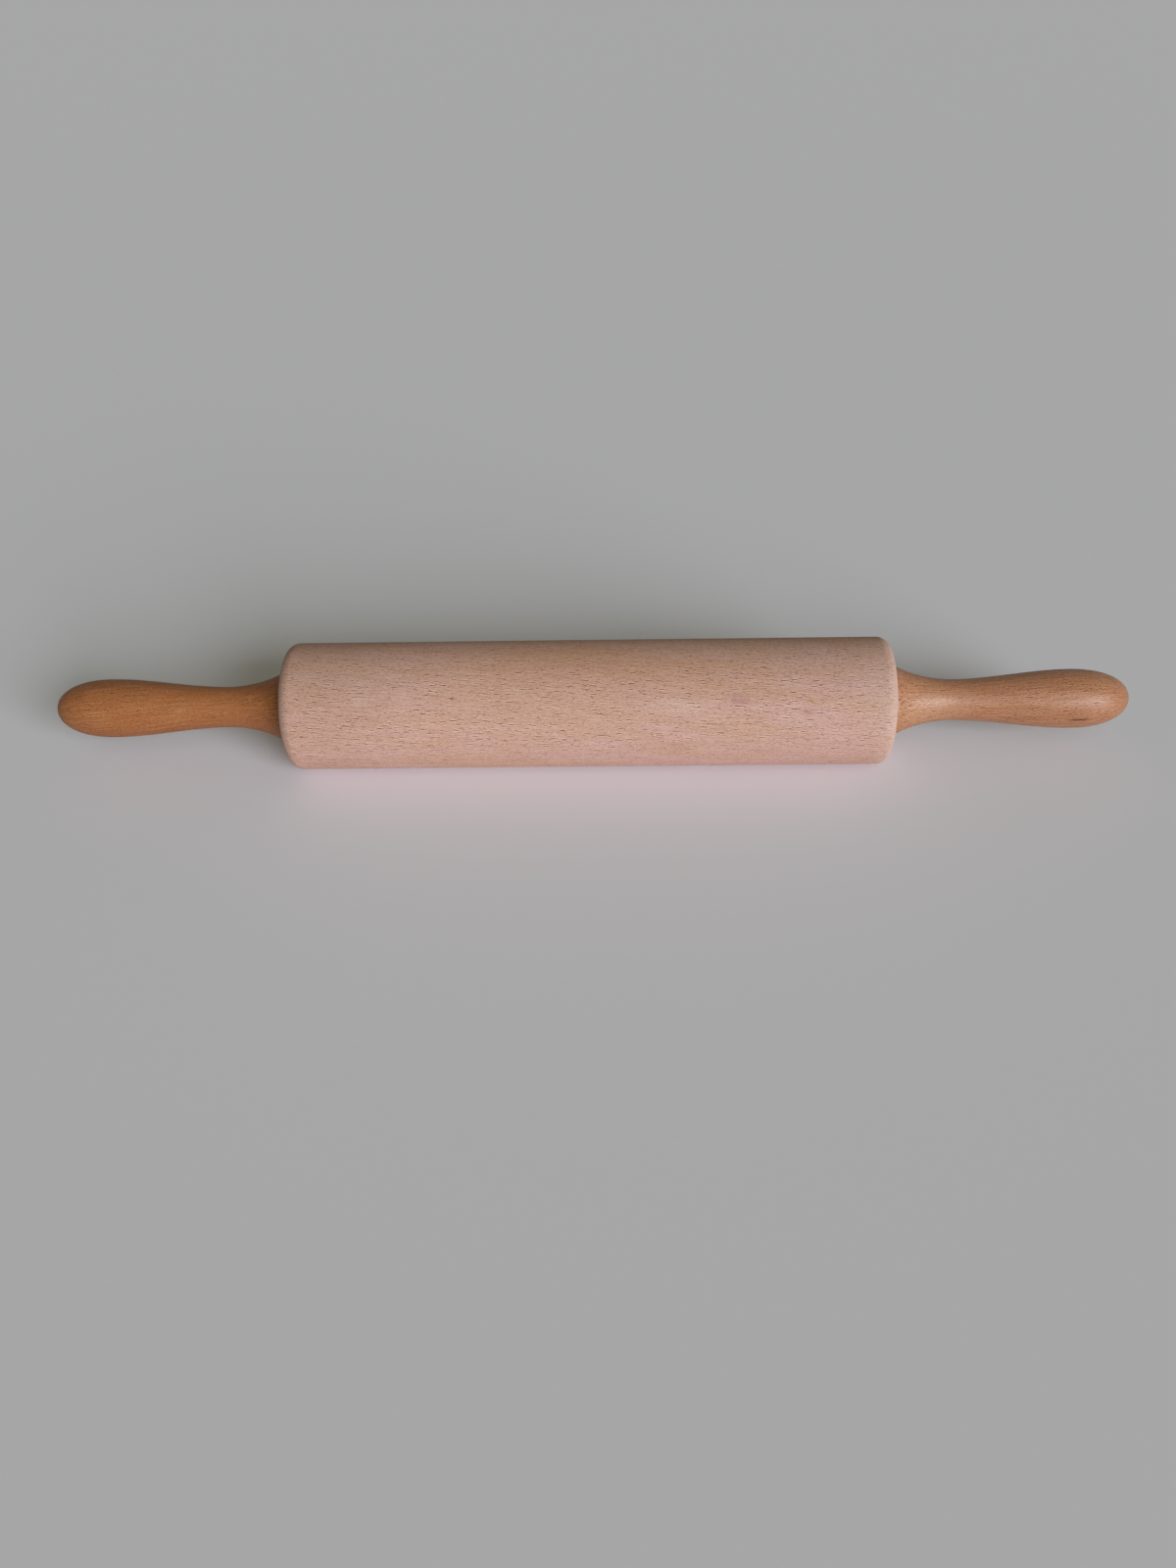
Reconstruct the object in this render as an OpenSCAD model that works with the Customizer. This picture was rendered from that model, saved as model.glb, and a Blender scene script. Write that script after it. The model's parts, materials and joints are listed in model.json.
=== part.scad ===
// Wooden rolling pin with a free-turning roller.
// Both handles are pressed on the knurled ends of one steel axle, and the roller turns on that axle
// in two shielded ball bearings, each let into a counterbore in the roller's end.
// The axis lies along X, the origin is at the middle of the roller, and all sizes are in millimetres.

/* [Roller] */
// Length of the roller between its flat ends
roller_len = 250; // [200:5:320]
// Diameter of the rolling surface
roller_d = 53; // [45:0.5:65]
// Radius of the rounding round each end
roller_edge_r = 5; // [2:0.5:7]
// Diameter of the long bore that the axle passes through
roller_bore_d = 14; // [13:0.5:16]
// Chamfer at the mouth of each bearing counterbore
seat_chamfer = 0.6; // [0.3:0.1:1]
// Depth of a bearing's outer face below the roller's end
bearing_recess = 1; // [0.6:0.1:2]

/* [Handles] */
// Length of a handle from its base to its tip
handle_len = 99; // [90:0.5:120]
// Running gap between a handle's base and the roller's end
handle_gap = 0.5; // [0.3:0.1:1]
// Diameter of the flared base beside the roller
base_d = 29.5; // [28:0.5:36]
// Width of the straight land at the base
base_land = 1.5; // [1:0.1:3]
// Radius of the rounding at the base's edge
base_edge_r = 0.7; // [0.4:0.1:0.9]
// Diameter of the neck, where the handle is thinnest
neck_d = 17; // [15:0.1:20]
// Distance from the base to the neck
neck_at = 26.5; // [22:0.5:34]
// Largest diameter of the grip
grip_d = 24.5; // [22:0.5:30]
// Length of the rounded nose, from the thickest place to the tip
nose_len = 24; // [20:0.5:30]
// Fullness of the nose: 2 is an ellipse, and more is blunter
nose_fullness = 2.2; // [2:0.05:2.8]

/* [Axle] */
// Diameter of the axle in the bearings
axle_d = 8; // [7:0.25:9]
// Length of each knurled end, held in a handle
tang_len = 60; // [45:1:70]
// Diameter over the ribs of a knurled end
tang_d = 7.4; // [6.4:0.1:7.8]
// Number of ribs on a knurled end
rib_count = 18; // [12:1:24]
// Height of a rib
rib_height = 0.3; // [0.2:0.05:0.45]
// Chamfer at the tip of each knurled end
tang_chamfer = 0.8; // [0.5:0.1:1.2]
// Depth of the drill's cone below a knurled end
drill_clear = 2; // [1:0.5:4]

/* [Bearings] */
// Outer diameter of a bearing
bearing_od = 22; // [21:0.5:26]
// Width of a bearing
bearing_w = 7; // [6.5:0.25:8]
// Diameter of a ball
ball_d = 3.97; // [3.5:0.05:4.2]
// Number of balls in a bearing
ball_count = 7; // [6:1:8]
// Radial space between the lands of the two rings
land_space = 2.9; // [2.6:0.1:3.1]
// Play between a ball and the race that it runs in
race_play = 0.06; // [0.03:0.01:0.1]
// Play between a ball and its pocket in the cage
pocket_play = 0.12; // [0.08:0.01:0.16]
// Space between the cage and each ring's land
cage_clear = 0.45; // [0.3:0.05:0.6]
// Thickness of the cage behind its pockets
cage_back = 0.5; // [0.35:0.05:0.6]
// Reach of the cage's prongs past the balls' middle
cage_lip = 1.2; // [0.9:0.1:1.4]
// Thickness of a shield's sheet steel
shield_t = 0.3; // [0.2:0.05:0.4]
// Width of the rolled rim that holds a shield in the outer ring
shield_rim_w = 0.75; // [0.6:0.05:0.8]
// Depth of the step in the outer ring that takes a shield's rim
shield_step = 0.6; // [0.4:0.05:0.8]
// Gap between a shield and the inner ring
shield_gap = 0.2; // [0.15:0.05:0.3]
// Chamfer on the rings' outer edges
ring_chamfer = 0.3; // [0.2:0.05:0.4]

/* [Clips and washers] */
// Thickness of a retaining clip
clip_t = 0.7; // [0.5:0.05:0.9]
// Outer diameter of a retaining clip
clip_od = 12.3; // [11.8:0.1:12.6]
// Diameter of the axle at the bottom of a clip's groove
groove_d = 6; // [5.4:0.1:6.4]
// Play of a clip in its groove
clip_play = 0.05; // [0.02:0.01:0.08]
// Width of a clip's open side
clip_mouth = 5.2; // [4.6:0.1:5.4]
// Width of each of a clip's three prongs
clip_prong = 1.8; // [1.4:0.1:2.2]
// Radial width of a clip's band
clip_band = 1.5; // [1.2:0.1:1.7]
// Width of the rim of a thrust washer round the axle
washer_rim = 1.9; // [1.5:0.1:2.1]
// Play between a thrust washer and the axle
washer_play = 0.1; // [0.05:0.05:0.2]

/* [Hidden] */

// Facets on a round shape
$fn = 96;
// Steps along each curved stretch of a turned outline
curve_steps = 20;
// Margin by which a cutter passes through what it cuts
over = 1;

// Colours, as red, green and blue
pale_beech = [0.80, 0.66, 0.57];
oiled_beech = [0.72, 0.48, 0.30];
bright_steel = [0.78, 0.79, 0.80];
ring_steel = [0.70, 0.71, 0.73];
clip_steel = [0.32, 0.32, 0.34];
cage_nylon = [0.93, 0.91, 0.84];
washer_nylon = [0.96, 0.96, 0.94];

roller_r = roller_d / 2;
roller_end = roller_len / 2;
base_r = base_d / 2;
neck_r = neck_d / 2;
grip_r = grip_d / 2;
grip_at = handle_len - nose_len;
axle_r = axle_d / 2;
tang_r = tang_d / 2;
// The handle's base is where the axle steps down to its knurled end
base_x = roller_end + handle_gap;
bearing_r = bearing_od / 2;
bearing_face_x = roller_end - bearing_recess;
bearing_mid_x = bearing_face_x - bearing_w / 2;
bearing_back_x = bearing_face_x - bearing_w;
ball_r = ball_d / 2;
pitch_r = (bearing_od + axle_d) / 4;
race_r = ball_r + race_play;
inner_land_r = pitch_r - land_space / 2;
outer_land_r = pitch_r + land_space / 2;
pocket_r = ball_r + pocket_play;
// Radius of the arc that sweeps from the base's land down to the neck
flare_rise = base_r - neck_r;
flare_run = neck_at - base_land;
flare_r = (flare_run * flare_run + flare_rise * flare_rise) / (2 * flare_rise);
// The washer fills the space from the bearing's inner ring to the handle's base
washer_t = base_x - bearing_face_x;
groove_w = clip_t + 2 * clip_play;

function smooth_rise(u) = u * u * (3 - 2 * u);

// Points on a circle about a centre, from one angle to another
function arc(centre, r, from, to, steps) =
    [for (i = [0 : steps])
        let (a = from + (to - from) * i / steps)
        centre + r * [cos(a), sin(a)]];

// Turns a half outline, drawn as radius and distance along the axis, about the X axis
module turned() {
    rotate([90, 0, 90]) rotate_extrude() children();
}

// Puts what is drawn for the right end at either end: side is 1 for right and -1 for left
module at_end(side) {
    mirror([side < 0 ? 1 : 0, 0, 0]) children();
}

module roller_outline() {
    straight = roller_end - roller_edge_r;
    corner = roller_r - roller_edge_r;
    polygon(concat(
        [[0, -roller_end]],
        arc([corner, -straight], roller_edge_r, -90, 0, curve_steps),
        arc([corner, straight], roller_edge_r, 0, 90, curve_steps),
        [[0, roller_end]]
    ));
}

// The bearing's counterbore with its chamfered mouth, as it is cut from the right end
module bearing_seat() {
    polygon([
        [0, bearing_back_x],
        [bearing_r, bearing_back_x],
        [bearing_r, roller_end - seat_chamfer],
        [bearing_r + seat_chamfer, roller_end],
        [bearing_r + seat_chamfer, roller_end + over],
        [0, roller_end + over]
    ]);
}

module roller() {
    color(pale_beech)
    difference() {
        turned() roller_outline();
        turned() translate([0, -roller_end - over])
            square([roller_bore_d / 2, roller_len + 2 * over]);
        for (side = [-1, 1])
            at_end(side) turned() bearing_seat();
    }
}

// Outline of a handle from its base at 0 to its tip: land, flare, neck, swelling grip and nose
module handle_outline() {
    flare_end = acos(1 - flare_rise / flare_r);
    land = arc([base_r - base_edge_r, base_edge_r], base_edge_r, -90, 0, curve_steps / 2);
    flare = arc([neck_r + flare_r, neck_at], flare_r, 180 + flare_end, 180, curve_steps);
    grip = [for (i = [1 : curve_steps])
        let (u = i / curve_steps)
        [neck_r + (grip_r - neck_r) * smooth_rise(u), neck_at + (grip_at - neck_at) * u]];
    nose = [for (i = [1 : curve_steps])
        let (a = 90 * i / curve_steps, power = 2 / nose_fullness)
        [grip_r * pow(cos(a), power), grip_at + nose_len * pow(sin(a), power)]];
    polygon(concat([[0, 0]], land, flare, grip, nose));
}

// The blind bore for a knurled end, with the cone that a drill leaves
module handle_bore() {
    drill_angle = 118;
    depth = tang_len + drill_clear;
    polygon([
        [0, -over],
        [tang_r, -over],
        [tang_r, depth],
        [0, depth + tang_r / tan(drill_angle / 2)]
    ]);
}

module handle(side) {
    color(oiled_beech)
    at_end(side) translate([base_x, 0, 0])
    difference() {
        turned() handle_outline();
        turned() handle_bore();
    }
}

// Cross-section of a knurled end: straight ribs round a core
module knurl() {
    rib_w = PI * tang_d / rib_count / 2;
    circle(r = tang_r - rib_height);
    intersection() {
        circle(r = tang_r);
        for (i = [0 : rib_count - 1])
            rotate(i * 360 / rib_count)
            translate([0, -rib_w / 2])
                square([tang_d, rib_w]);
    }
}

module knurled_end() {
    tip = tang_r - tang_chamfer;
    intersection() {
        rotate([90, 0, 90]) linear_extrude(tang_len) knurl();
        turned() polygon([
            [0, -over],
            [tang_r + over, -over],
            [tang_r + over, tang_len - tang_chamfer - over],
            [tip, tang_len],
            [0, tang_len]
        ]);
    }
}

module axle() {
    color(bright_steel) {
        difference() {
            turned() translate([0, -base_x]) square([axle_r, 2 * base_x]);
            for (side = [-1, 1])
                at_end(side)
                turned() translate([groove_d / 2, bearing_back_x - clip_t - clip_play])
                    square([axle_r, groove_w]);
        }
        for (side = [-1, 1])
            at_end(side) translate([base_x, 0, 0]) knurled_end();
    }
}

// Half section of a ring with chamfered corners, between two radii, on the bearing's own width
module ring_section(inner_r, outer_r, chamfer_in, chamfer_out) {
    half = bearing_w / 2;
    polygon([
        [inner_r + chamfer_in, -half],
        [outer_r - chamfer_out, -half],
        [outer_r, -half + chamfer_out],
        [outer_r, half - chamfer_out],
        [outer_r - chamfer_out, half],
        [inner_r + chamfer_in, half],
        [inner_r, half - chamfer_in],
        [inner_r, -half + chamfer_in]
    ]);
}

module bearing_outer_ring(side) {
    step_r = outer_land_r + shield_step;
    color(ring_steel)
    at_end(side) translate([bearing_mid_x, 0, 0])
    turned() difference() {
        ring_section(outer_land_r, bearing_r, 0, ring_chamfer);
        translate([pitch_r, 0]) circle(r = race_r);
        for (face = [-1, 1])
            translate([0, face * bearing_w / 2 - shield_rim_w])
                square([step_r, 2 * shield_rim_w]);
    }
}

module bearing_inner_ring(side) {
    color(ring_steel)
    at_end(side) translate([bearing_mid_x, 0, 0])
    turned() difference() {
        ring_section(axle_r, inner_land_r, ring_chamfer, 0);
        translate([pitch_r, 0]) circle(r = race_r);
    }
}

module bearing_balls(side) {
    color(bright_steel)
    at_end(side) translate([bearing_mid_x, 0, 0])
    for (i = [0 : ball_count - 1])
        rotate([i * 360 / ball_count, 0, 0])
        translate([0, 0, pitch_r])
            sphere(r = ball_r);
}

// A crown cage: a ring with a snap-in pocket for each ball, open towards the handle
module bearing_cage(side) {
    back = pocket_r + cage_back;
    color(cage_nylon)
    at_end(side) translate([bearing_mid_x, 0, 0])
    difference() {
        turned() translate([inner_land_r + cage_clear, -back])
            square([land_space - 2 * cage_clear, back + cage_lip]);
        for (i = [0 : ball_count - 1])
            rotate([i * 360 / ball_count, 0, 0])
            translate([0, 0, pitch_r])
                sphere(r = pocket_r);
    }
}

// A shield of dished sheet steel, whose rolled rim snaps into the outer ring.
// face is 1 for the bearing's outside face and -1 for the one inside the roller
module bearing_shield(side, face) {
    half = bearing_w / 2;
    rim_r = outer_land_r + shield_step;
    hole_r = inner_land_r + shield_gap;
    inset = half - shield_rim_w;
    color(ring_steel)
    at_end(side) translate([bearing_mid_x, 0, 0])
    mirror([face < 0 ? 1 : 0, 0, 0])
    turned() polygon([
        [hole_r, inset],
        [rim_r, inset],
        [rim_r, half],
        [rim_r - shield_t, half],
        [rim_r - 2 * shield_t, inset + shield_t],
        [hole_r, inset + shield_t]
    ]);
}

module thrust_washer(side) {
    bore_r = axle_r + washer_play;
    color(washer_nylon)
    at_end(side) turned() translate([bore_r, bearing_face_x])
        square([washer_rim, washer_t]);
}

// Flat outline of a three-pronged retaining clip that is pushed on from its open side
module clip_outline() {
    outer_r = clip_od / 2;
    seat_r = groove_d / 2 + clip_play;
    prong_angle = 125;
    difference() {
        union() {
            difference() {
                circle(r = outer_r);
                circle(r = outer_r - clip_band);
            }
            for (a = [0, prong_angle, -prong_angle])
                rotate(a)
                translate([-clip_prong / 2, -outer_r + clip_band / 2])
                    square([clip_prong, outer_r - clip_band / 2]);
        }
        circle(r = seat_r);
        translate([-clip_mouth / 2, 0]) square([clip_mouth, clip_od]);
    }
}

module retaining_clip(side) {
    color(clip_steel)
    at_end(side) translate([bearing_back_x - clip_t, 0, 0])
    rotate([90, 0, 90]) linear_extrude(clip_t) clip_outline();
}

roller();
axle();
for (side = [-1, 1]) {
    end = side < 0 ? "_left" : "_right";
    handle(side);
    bearing_outer_ring(side);
    bearing_inner_ring(side);
    bearing_balls(side);
    bearing_cage(side);
    bearing_shield(side, 1);
    bearing_shield(side, -1);
    thrust_washer(side);
    retaining_clip(side);
}
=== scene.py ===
import json
from math import acos, atan2, cos, pi, radians, sin, tan

import bpy
from mathutils import Matrix, Vector


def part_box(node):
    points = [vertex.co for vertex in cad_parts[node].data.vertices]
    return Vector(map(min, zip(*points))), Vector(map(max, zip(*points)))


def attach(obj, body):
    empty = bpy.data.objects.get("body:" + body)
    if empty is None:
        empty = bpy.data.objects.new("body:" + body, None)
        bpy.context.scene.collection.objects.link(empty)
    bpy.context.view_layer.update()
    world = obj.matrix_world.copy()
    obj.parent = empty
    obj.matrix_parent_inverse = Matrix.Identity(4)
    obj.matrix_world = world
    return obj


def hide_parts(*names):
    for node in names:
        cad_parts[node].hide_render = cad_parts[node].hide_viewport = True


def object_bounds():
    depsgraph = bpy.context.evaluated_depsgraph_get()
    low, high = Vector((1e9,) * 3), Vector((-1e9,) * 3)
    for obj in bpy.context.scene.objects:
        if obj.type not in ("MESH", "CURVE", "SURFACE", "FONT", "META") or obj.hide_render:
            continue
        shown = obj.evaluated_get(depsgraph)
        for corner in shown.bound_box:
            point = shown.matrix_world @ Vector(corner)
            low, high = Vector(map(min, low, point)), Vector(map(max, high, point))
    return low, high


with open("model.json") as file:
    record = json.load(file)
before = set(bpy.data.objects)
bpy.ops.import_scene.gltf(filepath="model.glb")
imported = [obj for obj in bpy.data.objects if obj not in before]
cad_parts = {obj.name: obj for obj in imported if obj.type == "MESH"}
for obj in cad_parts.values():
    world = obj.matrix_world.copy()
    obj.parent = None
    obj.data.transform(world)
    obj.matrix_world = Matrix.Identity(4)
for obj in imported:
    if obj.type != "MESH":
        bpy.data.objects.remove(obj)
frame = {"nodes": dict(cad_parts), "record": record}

cad_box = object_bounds()

# The view: a phone held above the near edge of the table, a forearm away from the pin and tilted
# down at it. The long side of the picture stands upright.
eye = Vector((0.0129, -0.4295, 0.3079))
tilt_down = radians(39.3)
turn_left = radians(1.83)
roll_right = radians(1.66)
lens_mm = 28.8
long_side_mm = 36.0
nearest_seen = 0.01

camera = bpy.data.objects.new("view", bpy.data.cameras.new("view"))
camera.data.lens = lens_mm
camera.data.sensor_width = long_side_mm
camera.data.clip_start = nearest_seen
camera.matrix_world = (
    Matrix.Translation(eye)
    @ Matrix.Rotation(turn_left, 4, "Z")
    @ Matrix.Rotation(pi / 2 - tilt_down, 4, "X")
    @ Matrix.Rotation(-roll_right, 4, "Z")
)
bpy.context.scene.collection.objects.link(camera)
bpy.context.scene.camera = camera

# The table and the light: a pale, matt table top that runs out of sight, a wide soft window low on
# the viewer's right, a weaker one above it, and an even pale room.
table_r = 6.0
table_colour = (0.94, 0.92, 1.0, 1)
table_rough = 0.8
table_gloss = 0.15
room_colour = (1.0, 0.98, 0.48, 1)
room_light = 0.09
seen_colour = (0.93, 0.94, 0.93, 1)
seen_light = 0.45
daylight = (0.92, 0.955, 1.0)

bpy.ops.object.select_all(action="DESELECT")
bpy.ops.mesh.primitive_circle_add(
    vertices=64, radius=table_r, fill_type="NGON", location=(0, 0, cad_box[0].z)
)
table = bpy.context.object
table.name = "table"
bpy.ops.object.transform_apply()
paint = bpy.data.materials.new("table_paint")
paint.use_nodes = True
coat = paint.node_tree.nodes["Principled BSDF"].inputs
coat["Base Color"].default_value = table_colour
coat["Roughness"].default_value = table_rough
coat["Specular IOR Level"].default_value = table_gloss
table.data.materials.append(paint)

# The room lights the pin faintly, and shows brighter than that to the camera and in reflections
world = bpy.data.worlds.new("room")
bpy.context.scene.world = world
world.use_nodes = True
room = world.node_tree
lit = room.nodes["Background"]
lit.inputs["Color"].default_value = room_colour
lit.inputs["Strength"].default_value = room_light
seen = room.nodes.new("ShaderNodeBackground")
seen.inputs["Color"].default_value = seen_colour
seen.inputs["Strength"].default_value = seen_light
path = room.nodes.new("ShaderNodeLightPath")
looks_at = path.outputs["Is Camera Ray"]
for ray in ("Is Glossy Ray", "Is Transmission Ray"):
    either = room.nodes.new("ShaderNodeMath")
    either.operation = "MAXIMUM"
    room.links.new(looks_at, either.inputs[0])
    room.links.new(path.outputs[ray], either.inputs[1])
    looks_at = either.outputs[0]
chosen = room.nodes.new("ShaderNodeMixShader")
room.links.new(looks_at, chosen.inputs[0])
room.links.new(lit.outputs[0], chosen.inputs[1])
room.links.new(seen.outputs[0], chosen.inputs[2])
room.links.new(chosen.outputs[0], room.nodes["World Output"].inputs["Surface"])


def window(name, right, height, spread, strength):
    """A soft light in front of the pin: degrees to the right, degrees up, and degrees across."""
    light = bpy.data.lights.new(name, "SUN")
    light.color = daylight
    light.angle = radians(spread)
    light.energy = strength
    holder = bpy.data.objects.new(name, light)
    a, b = radians(right), radians(height)
    towards = Vector((sin(a) * cos(b), -cos(a) * cos(b), sin(b)))
    holder.rotation_euler = towards.to_track_quat("Z", "Y").to_euler()
    bpy.context.scene.collection.objects.link(holder)


window("window", right=36, height=18, spread=34, strength=2.74)
window("skylight", right=5, height=42, spread=40, strength=0.34)

bpy.context.scene.view_settings.view_transform = "Standard"

# The roller: a straight cylinder turned from one blank of beech, sanded and left bare. It is bored
# right through for the axle and counterbored for a bearing at each end, under the handles' bases.
roller_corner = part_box("roller")[1]
roller_r = roller_corner.z
roller_end = roller_corner.x
edge_r = 0.005
edge_steps = 12
bore_r = 0.007
seat_r = 0.011
seat_depth = 0.008
seat_chamfer = 0.0006
roller_sides = 192
roller_rings = 100
smoothed_under = radians(40)
same_point = 1e-6


def arc(centre, r, start, stop, steps):
    """Points on a circle in the XZ plane, with angles in degrees from +X towards +Z."""
    turns = [radians(start + (stop - start) * i / steps) for i in range(steps + 1)]
    return [(centre[0] + r * cos(a), centre[1] + r * sin(a)) for a in turns]


def turn_on_lathe(name, outline, sides):
    """Draws a half outline point by point, from a small plane that is merged to its first point,
    then spins it about the X axis and closes it."""
    bpy.ops.object.select_all(action="DESELECT")
    bpy.ops.mesh.primitive_plane_add(size=0.001, location=(0, 0, 0))
    piece = bpy.context.object
    piece.name = piece.data.name = name
    bpy.ops.object.mode_set(mode="EDIT")
    bpy.ops.mesh.select_all(action="SELECT")
    bpy.ops.mesh.merge(type="CENTER")
    bpy.ops.transform.translate(value=(outline[0][0], 0, outline[0][1]))
    for here, there in zip(outline, outline[1:]):
        step = (there[0] - here[0], 0, there[1] - here[1])
        bpy.ops.mesh.extrude_region_move(TRANSFORM_OT_translate={"value": step})
    bpy.ops.mesh.select_all(action="SELECT")
    bpy.ops.mesh.spin(steps=sides, angle=2 * pi, center=(0, 0, 0), axis=(1, 0, 0))
    bpy.ops.mesh.select_all(action="SELECT")
    bpy.ops.mesh.remove_doubles(threshold=same_point)
    bpy.ops.mesh.normals_make_consistent(inside=False)
    bpy.ops.object.mode_set(mode="OBJECT")
    bpy.ops.object.shade_smooth_by_angle(angle=smoothed_under)
    return piece


def end_of_roller(side):
    """One end's outline from the bore out to the rolling surface; side is 1 at +X, -1 at -X."""
    face = side * roller_end
    seat = face - side * seat_depth
    corner = (face - side * edge_r, roller_r - edge_r)
    outward = 0 if side > 0 else 180
    return [
        (seat, bore_r),
        (seat, seat_r),
        (face - side * seat_chamfer, seat_r),
        (face, seat_r + seat_chamfer),
    ] + arc(corner, edge_r, outward, 90, edge_steps)


rolling_surface = [
    (-roller_end + edge_r + (roller_end - edge_r) * 2 * i / roller_rings, roller_r)
    for i in range(1, roller_rings)
]
left_end = end_of_roller(-1)
roller = turn_on_lathe(
    "roller_beech",
    left_end + rolling_surface + end_of_roller(1)[::-1] + [left_end[0]],
    roller_sides,
)


class Finish:
    """A piece's material, with short ways to add nodes to it and join them."""

    def __init__(self, name):
        self.material = bpy.data.materials.new(name)
        self.material.use_nodes = True
        self.tree = self.material.node_tree
        self.shader = self.tree.nodes["Principled BSDF"]

    def put(self, value, socket):
        """Joins another node's output to the socket, or sets the socket to a plain value."""
        if isinstance(value, bpy.types.NodeSocket):
            self.tree.links.new(value, socket)
        else:
            socket.default_value = value

    def add(self, kind, inputs=None, **settings):
        """Adds a node with these settings, and puts a value into each of the named inputs."""
        made = self.tree.nodes.new(kind)
        for key, value in settings.items():
            setattr(made, key, value)
        for key, value in (inputs or {}).items():
            self.put(value, made.inputs[key])
        return made

    def math(self, how, *values):
        return self.add("ShaderNodeMath", dict(enumerate(values)), operation=how).outputs[0]

    def vector(self, how, *values):
        made = self.add("ShaderNodeVectorMath", dict(enumerate(values)), operation=how)
        return made.outputs["Value" if how == "LENGTH" else "Vector"]

    def split(self, vector):
        return self.add("ShaderNodeSeparateXYZ", {"Vector": vector}).outputs

    def join(self, x, y, z):
        return self.add("ShaderNodeCombineXYZ", {"X": x, "Y": y, "Z": z}).outputs[0]

    def channel(self, colour, which):
        return self.add("ShaderNodeSeparateColor", {"Color": colour}).outputs[which]

    def ramp(self, value, low, high, to_low=0.0, to_high=1.0):
        """Goes smoothly from to_low to to_high while the value goes from low to high."""
        inputs = {"Value": value, "From Min": low, "From Max": high, "To Min": to_low, "To Max": to_high}
        made = self.add("ShaderNodeMapRange", inputs, interpolation_type="SMOOTHSTEP")
        return made.outputs["Result"]

    def blend(self, factor, first, second, how="MIX"):
        made = self.add("ShaderNodeMix", data_type="RGBA", blend_type=how)
        self.put(factor, made.inputs["Factor"])
        self.put(first, made.inputs["A"])
        self.put(second, made.inputs["B"])
        return made.outputs["Result"]

    def noise(self, place, size, detail):
        """Noise whose blobs are about as long, wide and deep as size says."""
        inputs = {"Vector": self.vector("DIVIDE", place, size), "Scale": 1.0, "Detail": detail}
        return self.add("ShaderNodeTexNoise", inputs).outputs


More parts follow.
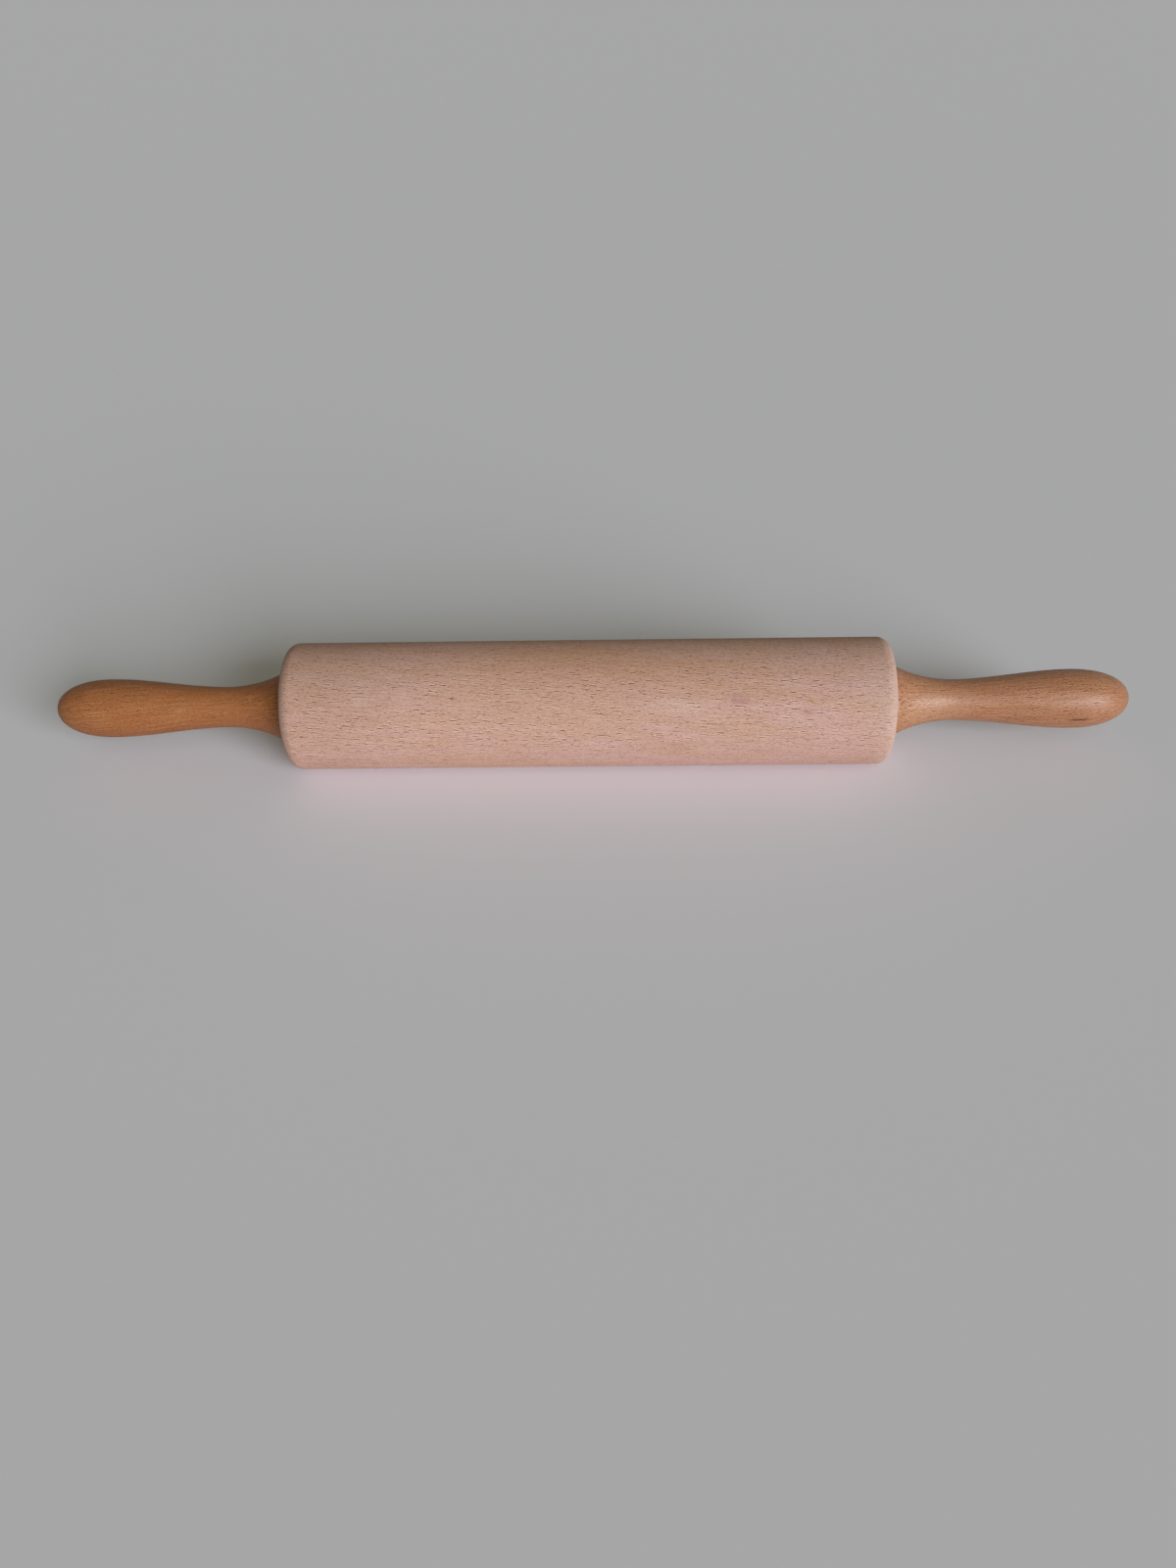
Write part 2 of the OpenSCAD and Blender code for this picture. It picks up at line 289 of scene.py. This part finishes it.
def beech(name, girth, drift, run_out, seed, colours, marks, shine, stains_and_painted_light=(), knots=()):
    """Beech in millimetres. Its fibres follow the turned surface, whose radius is about girth, and
    drift downwards to the right by so many degrees. The year's rings lie straight in the log, which
    is turned by drift and by run_out, and seed moves the cut to another place in it.

    colours holds the wood's two shades, its pale and dark fibres, its late rings, its rays and its
    end grain. marks says how strong these are, and how long and wide a ray is. Spots lie under the
    fibres and knots over them, each with a place, a size, a lean in degrees, a colour and a strength.
    Some spots under the fibres are the wood's own stains, and some are painted shade and painted
    highlights.
    shine holds the roughness, the relief, the gloss and the nap of the surface.
    """
    wood = Finish(name)
    source = wood.add("ShaderNodeTexCoord").outputs
    place = wood.vector("MULTIPLY", source["Object"], (1000, 1000, 1000))
    only_across = (0, 1, 1)

    # The place in the log, whose heart lies this far from the pin's axis and whose rings sway
    face_angle = radians(-54.4)
    heart_depth = 60
    heart_aside = 6
    sway_size = (80, 20, 20)
    sway_reach = (0, 4, 4)
    start = (seed * 100, heart_aside, heart_depth)
    turn = (face_angle, radians(run_out), radians(drift))
    turned = wood.add("ShaderNodeMapping", {"Vector": place, "Location": start, "Rotation": turn})
    log = turned.outputs[0]
    sway = wood.vector("SUBTRACT", wood.noise(log, sway_size, 1.0)["Color"], (0.5, 0.5, 0.5))
    sway = wood.vector("MULTIPLY", sway, sway_reach)
    swayed = wood.vector("ADD", log, sway)
    from_heart = wood.vector("LENGTH", wood.vector("MULTIPLY", swayed, only_across))

    # The same place told by the turned surface: along the pin, round it, and out from its axis
    bend_share = 0.6
    faced = wood.add("ShaderNodeMapping", {"Vector": place, "Rotation": (face_angle, 0, 0)}).outputs[0]
    flat = wood.split(faced)
    around = wood.math("MULTIPLY", wood.math("ARCTAN2", flat["Y"], flat["Z"]), girth)
    around = wood.math("MULTIPLY_ADD", flat["X"], tan(radians(drift)), around)
    around = wood.math("MULTIPLY_ADD", wood.channel(sway, "Green"), bend_share, around)
    from_axis = wood.vector("LENGTH", wood.vector("MULTIPLY", faced, only_across))
    along = wood.math("ADD", flat["X"], seed * 100.0)
    grain = wood.join(along, around, from_axis)

    # Broad pinkish and tan patches, and the darker line that closes each year's ring
    patch_size = (50, 9, 9)
    all_tan = 0.34
    all_pink = 0.66
    ring_width = 2.6
    late_begins = 0.45
    late_full = 0.95
    patch = wood.ramp(wood.noise(log, patch_size, 3.0)["Fac"], all_tan, all_pink)
    colour = wood.blend(patch, colours["tan"], colours["pink"])
    year = wood.math("FRACT", wood.math("DIVIDE", from_heart, ring_width))
    late = wood.math("MULTIPLY", wood.ramp(year, late_begins, late_full), wood.ramp(year, 1.0, late_full))
    colour = wood.blend(wood.math("MULTIPLY", late, marks["ring"]), colour, colours["late"])

    # A spot is full up to the first of these distances from its middle and fades out by the second.
    # They are told in its own size, and a ragged noise is added to them
    spot_full = 0.7
    spot_ends = 1.5
    ragged_size = (4.0, 1.0, 1.0)
    ragged_by = 1.2

    def spotted(colour, spots):
        """Blends each spot's colour in, turned so that the spot lies flat on the surface."""
        for where, size, lean, spot_colour, strength in spots:
            up = atan2(where[2], -where[1])
            tilt = Matrix.Rotation(pi / 2 - up, 3, "X") @ Matrix.Rotation(radians(lean), 3, "Z")
            turn = tuple(tilt.to_euler())
            inputs = {"Vector": place, "Location": where, "Rotation": turn, "Scale": size}
            near = wood.add("ShaderNodeMapping", inputs, vector_type="TEXTURE").outputs[0]
            ragged = wood.math("MULTIPLY", wood.noise(grain, ragged_size, 2.0)["Fac"], ragged_by)
            reach = wood.math("ADD", wood.vector("LENGTH", near), ragged)
            colour = wood.blend(wood.ramp(reach, spot_ends, spot_full, 0.0, strength), colour, spot_colour)
        return colour

    # Spots under the fibres: the wood's own stains, and the painted shade and painted highlights that a
    # call lists with them
    colour = spotted(colour, stains_and_painted_light)

    # Long streaks, then short fine fibres. Noise under the middle is dark and over it pale, and each
    # kind has a size, the noise at which its pale shade is full, and its share of the strength
    middle = 0.5
    dark_at = 0.3
    long_streaks = ((16.0, 0.2, 3.0), 0.7, 0.6)
    fine_fibres = ((0.9, 0.2, 1.5), 0.85, 0.8)
    for fibre_size, pale_at, share in (long_streaks, fine_fibres):
        fibre = wood.noise(grain, fibre_size, 0.5)["Fac"]
        strength = marks["fibre"] * share
        dark = wood.ramp(fibre, middle, dark_at, 0.0, strength)
        pale = wood.ramp(fibre, middle, pale_at, 0.0, strength)
        colour = wood.blend(dark, colour, colours["dark"])
        colour = wood.blend(pale, colour, colours["pale"])

    # Rays: thin dark dashes along the grain, each with a brighter edge above and below it. They lie
    # in rows that are staggered by a slant, and most of them are faint
    slant = 1.6
    scatter = 0.75
    rarity = 1.3
    ray_depth = 4.0
    edge_reach = 1.2
    dash_full = 0.85
    edge_full = 0.5
    brightened = (1.5, 1.6, 1.65, 1)
    staggered = wood.math("MULTIPLY_ADD", around, slant, along)
    rows = wood.join(staggered, around, from_axis)

    def dashes(colour, cell, long, wide, edge, brighter, weak, strong):
        """Draws a dash in each cell, and gives the colour back with where the dashes are."""
        spread = wood.vector("DIVIDE", rows, cell)
        inputs = {"Vector": spread, "Scale": 1.0, "Randomness": scatter}
        nearest = wood.add("ShaderNodeTexVoronoi", inputs).outputs
        away = wood.vector("MULTIPLY", wood.vector("SUBTRACT", spread, nearest["Position"]), cell)
        away = wood.split(away)
        ahead = wood.math("MULTIPLY_ADD", away["Y"], -slant, away["X"])
        away = wood.join(ahead, away["Y"], away["Z"])
        dash_half = (long / 2, wide / 2, ray_depth / 2)
        edge_half = (long / 2 * edge_reach, edge, ray_depth / 2 * edge_reach)
        inner = wood.vector("LENGTH", wood.vector("DIVIDE", away, dash_half))
        outer = wood.vector("LENGTH", wood.vector("DIVIDE", away, edge_half))
        chance = wood.math("POWER", wood.channel(nearest["Color"], "Red"), rarity)
        strength = wood.ramp(chance, 0.0, 1.0, weak, strong)
        core = wood.math("MULTIPLY", wood.ramp(inner, 1.0, dash_full), strength)
        glow = wood.math("MULTIPLY", strength, brighter)
        glow = wood.math("MULTIPLY", wood.ramp(outer, 1.0, edge_full), glow)
        colour = wood.blend(glow, colour, brightened, how="MULTIPLY")
        return wood.blend(core, colour, colours["ray"]), core

    ray_length = marks["ray_length"]
    ray_width = marks["ray_width"]
    colour, short_rays = dashes(
        colour, cell=(2.1, 0.78, 3.0), long=ray_length * 0.42, wide=ray_width * 0.83,
        edge=0.55, brighter=0.35, weak=0.0, strong=marks["ray"] * 0.9,
    )
    colour, long_rays = dashes(
        colour, cell=(4.8, 1.5, 3.6), long=ray_length, wide=ray_width,
        edge=0.8, brighter=0.5, weak=marks["ray"] * 0.1, strong=marks["ray"],
    )
    rays = wood.math("MAXIMUM", long_rays, short_rays)

    # End grain: paler and greyer where the surface turns across the fibres. A flat end shows the
    # year's rings as arcs, rays that spread from the heart of the log, and dark pores
    end_begins = 0.25
    end_full = 0.95
    flat_begins = 0.96
    flat_full = 0.995
    flat_strength = 0.9
    fan_size = (0.3, 9.0, 1.0)
    pore_size = (0.35, 0.25, 0.25)
    arc_strength = 0.5
    fan_strength = 0.35
    pore_strength = 0.4
    facing = wood.math("ABSOLUTE", wood.split(source["Normal"])["X"])
    swayed = wood.split(swayed)
    round_heart = wood.math("MULTIPLY", wood.math("ARCTAN2", swayed["Y"], swayed["Z"]), heart_depth)
    fan = wood.noise(wood.join(round_heart, from_heart, 0.0), fan_size, 1.0)["Fac"]
    pores = wood.noise(place, pore_size, 0.5)["Fac"]
    cut = wood.blend(wood.math("MULTIPLY", late, arc_strength), colours["end"], colours["dark"])
    cut = wood.blend(wood.ramp(fan, 0.35, 0.65, 0.0, fan_strength), cut, colours["pale"])
    cut = wood.blend(wood.ramp(pores, middle, dark_at, 0.0, pore_strength), cut, colours["dark"])
    across_fibres = wood.ramp(facing, end_begins, end_full, 0.0, marks["end"])
    flat_end = wood.ramp(facing, flat_begins, flat_full, 0.0, flat_strength)
    colour = wood.blend(across_fibres, colour, colours["end"])
    colour = wood.blend(flat_end, colour, cut)
    colour = spotted(colour, knots)

    # The surface: a little rougher on the dark fibres, with sunken rays, and less glossy where it
    # turns away from the eye
    rough_play = 0.05
    relief_height = 0.00012
    rim_gloss = 0.15
    surface = wood.shader.inputs
    dull = wood.ramp(fibre, 0.3, 0.7, shine["rough"] + rough_play, shine["rough"] - rough_play)
    relief = wood.math("SUBTRACT", fibre, rays)
    inputs = {"Height": relief, "Strength": shine["relief"], "Distance": relief_height}
    bump = wood.add("ShaderNodeBump", inputs).outputs["Normal"]
    rim = wood.add("ShaderNodeLayerWeight", {"Blend": 0.5}).outputs["Facing"]
    gloss = wood.ramp(rim, 0.55, 0.95, shine["gloss"], shine["gloss"] * rim_gloss)
    wood.put(colour, surface["Base Color"])
    wood.put(dull, surface["Roughness"])
    wood.put(bump, surface["Normal"])
    wood.put(gloss, surface["Specular IOR Level"])
    surface["Diffuse Roughness"].default_value = shine["nap"]
    return wood.material


roller.data.materials.append(beech(
    "bare_beech", girth=26.5, drift=5.5, run_out=-1.5, seed=1,
    colours={
        "tan": (0.597, 0.348, 0.253, 1),
        "pink": (0.617, 0.374, 0.322, 1),
        "late": (0.510, 0.293, 0.221, 1),
        "dark": (0.383, 0.186, 0.117, 1),
        "pale": (0.796, 0.596, 0.502, 1),
        "ray": (0.120, 0.030, 0.006, 1),
        "end": (0.653, 0.470, 0.400, 1),
    },
    marks={"ray_length": 3.5, "ray_width": 0.37, "ray": 1.0, "ring": 0.12, "fibre": 0.46, "end": 0.5},
    shine={"rough": 0.70, "relief": 0.3, "gloss": 0.25, "nap": 0.12},
    stains_and_painted_light=(
        # Painted light: a painted sheen that makes the right end paler, painted shade that darkens the
        # left end and more strongly its rounded rim, and painted shade that makes the upper side along
        # the middle darker and tanner
        ((127.0, -21.5, 15.5), (26.0, 70.0, 70.0), 0, (0.640, 0.450, 0.375, 1), 0.5),
        ((-112.0, -17.0, 20.0), (62.0, 60.0, 60.0), 0, (0.450, 0.262, 0.190, 1), 0.55),
        ((-126.0, -16.0, 12.0), (7.0, 60.0, 60.0), 0, (0.380, 0.210, 0.155, 1), 0.6),
        ((6.0, -8.0, 25.3), (112.0, 18.0, 18.0), -4, (0.575, 0.296, 0.160, 1), 0.65),
        # Small marks: a tan one, a pale one, two pinkish ones, and a thin tan line
        ((-67.5, -11.0, 24.1), (13.0, 5.0, 5.0), -4, (0.560, 0.305, 0.200, 1), 0.65),
        ((36.0, -22.5, 14.0), (22.0, 5.0, 5.0), -4, (0.690, 0.460, 0.370, 1), 0.6),
        ((60.9, -21.0, 16.1), (8.5, 4.8, 4.0), -12, (0.500, 0.250, 0.222, 1), 0.75),
        ((88.6, -23.8, 11.5), (5.0, 3.2, 3.0), -10, (0.500, 0.250, 0.222, 1), 0.75),
        ((90.1, -21.7, 15.2), (8.0, 0.9, 2.0), -20, (0.520, 0.300, 0.130, 1), 0.8),
    ),
))
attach(roller, "roller")
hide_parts("roller")

# The handles: turned beech grips, stained darker than the roller by a satin lacquer. Each is one
# piece from its flared base to its rounded nose, pressed on a knurled end of the axle.
base_r = 0.01475
base_land = 0.0015
base_edge_r = 0.0007
base_edge_steps = 5
neck_r = 0.0085
neck_at = 0.0265
grip_r = 0.01225
nose_len = 0.024
nose_fullness = 2.2
tang_r = 0.0037
tang_depth = 0.062
drill_cone = 0.0022
handle_sides = 128
curve_steps = 28


def handle_outline(length):
    """The turned outline from the blind bore's cone round the base to the tip, from x = 0."""
    grip_at = length - nose_len
    rise = base_r - neck_r
    run = neck_at - base_land
    flare_r = (run * run + rise * rise) / (2 * rise)
    flare_end = acos(1 - rise / flare_r)
    power = 2 / nose_fullness
    inside = [(tang_depth + drill_cone, 0), (tang_depth, tang_r), (0, tang_r)]
    rim = arc((base_edge_r, base_r - base_edge_r), base_edge_r, 180, 90, base_edge_steps)
    flare = [
        (neck_at - flare_r * sin(a), neck_r + flare_r * (1 - cos(a)))
        for a in (flare_end * (1 - i / curve_steps) for i in range(curve_steps + 1))
    ]
    grip = []
    nose = []
    for i in range(1, curve_steps + 1):
        u = i / curve_steps
        a = u * pi / 2
        swell = u * u * (3 - 2 * u)
        grip.append((neck_at + (grip_at - neck_at) * u, neck_r + (grip_r - neck_r) * swell))
        nose.append((grip_at + nose_len * sin(a) ** power, grip_r * max(cos(a), 0) ** power))
    nose[-1] = (length, 0)
    return inside + rim + flare + grip + nose


def handle(side, name, finish):
    """Turns the handle of one side, whose base faces the roller, in place of its CAD node."""
    low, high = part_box("handle_" + side)
    outline = handle_outline(high.x - low.x)
    if side == "left":
        outline = [(high.x - x, r) for x, r in outline]
    else:
        outline = [(low.x + x, r) for x, r in outline]
    piece = turn_on_lathe(name, outline, handle_sides)
    piece.data.materials.append(finish)
    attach(piece, "handles_and_axle")
    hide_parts("handle_" + side)


handle("left", "handle_left_beech", beech(
    "lacquered_beech_left", girth=11, drift=-5, run_out=-2, seed=5,
    colours={
        "tan": (0.376, 0.136, 0.043, 1),
        "pink": (0.345, 0.117, 0.041, 1),
        "late": (0.254, 0.090, 0.034, 1),
        "dark": (0.180, 0.048, 0.011, 1),
        "pale": (0.594, 0.314, 0.150, 1),
        "ray": (0.090, 0.012, 0.000, 1),
        "end": (0.290, 0.105, 0.038, 1),
    },
    marks={"ray_length": 3.4, "ray_width": 0.33, "ray": 0.9, "ring": 0.25, "fibre": 0.55, "end": 0.3},
    shine={"rough": 0.48, "relief": 0.2, "gloss": 0.2, "nap": 0.0},
))
handle("right", "handle_right_beech", beech(
    "lacquered_beech_right", girth=11, drift=-3.5, run_out=2.5, seed=9,
    colours={
        "tan": (0.473, 0.209, 0.098, 1),
        "pink": (0.446, 0.186, 0.092, 1),
        "late": (0.324, 0.134, 0.061, 1),
        "dark": (0.221, 0.072, 0.025, 1),
        "pale": (0.713, 0.414, 0.260, 1),
        "ray": (0.090, 0.014, 0.000, 1),
        "end": (0.380, 0.180, 0.085, 1),
    },
    marks={"ray_length": 3.6, "ray_width": 0.38, "ray": 1.0, "ring": 0.2, "fibre": 0.55, "end": 0.3},
    shine={"rough": 0.42, "relief": 0.2, "gloss": 0.42, "nap": 0.0},
    # The neck made paler, partly as paler wood and partly as a painted highlight, and the dark fleck
    # near the tip
    stains_and_painted_light=(((142.0, -10.0, 3.0), (26.0, 14.0, 14.0), 0, (0.600, 0.345, 0.215, 1), 0.4),),
    knots=(((202.2, -11.9, -2.2), (7.5, 1.05, 2.0), 0, (0.100, 0.030, 0.015, 1), 1.0),),
))

# The axle, the bearings, their clips and the washers: drawn and ground steel, sheet steel and
# moulded nylon, which the wood hides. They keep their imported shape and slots, pressed and clipped
# together as in the CAD, and get a finish for each slot.
speck_scale = 900.0
speck_play = 0.06
speck_shade = 0.88


def plain_finish(slot, colour, metal, rough):
    """Metal or nylon with fine specks, some a little darker and some a little rougher."""
    made = Finish(slot)
    surface = made.shader.inputs
    place = made.add("ShaderNodeTexCoord").outputs["Object"]
    inputs = {"Vector": place, "Scale": speck_scale, "Detail": 2.0}
    speck = made.add("ShaderNodeTexNoise", inputs).outputs["Fac"]
    shade = tuple(c * speck_shade for c in colour) + (1,)
    dull = made.ramp(speck, 0.3, 0.7, rough - speck_play, rough + speck_play)
    made.put(made.blend(speck, shade, colour + (1,)), surface["Base Color"])
    made.put(dull, surface["Roughness"])
    surface["Metallic"].default_value = metal
    return made.material


finishes = {
    "axle_steel": plain_finish("axle_steel", (0.62, 0.63, 0.64), 1.0, 0.32),
    "bearing_steel": plain_finish("bearing_steel", (0.55, 0.56, 0.58), 1.0, 0.22),
    "polished_steel": plain_finish("polished_steel", (0.75, 0.75, 0.76), 1.0, 0.1),
    "shield_steel": plain_finish("shield_steel", (0.60, 0.61, 0.62), 1.0, 0.35),
    "spring_steel": plain_finish("spring_steel", (0.16, 0.16, 0.17), 1.0, 0.4),
    "cage_nylon": plain_finish("cage_nylon", (0.80, 0.78, 0.68), 0.0, 0.5),
    "washer_nylon": plain_finish("washer_nylon", (0.88, 0.88, 0.85), 0.0, 0.5),
}
for part in frame["record"]["subparts"]:
    if part["material_slot"] in finishes:
        mesh = frame["nodes"][part["node"]].data
        mesh.materials.clear()
        mesh.materials.append(finishes[part["material_slot"]])
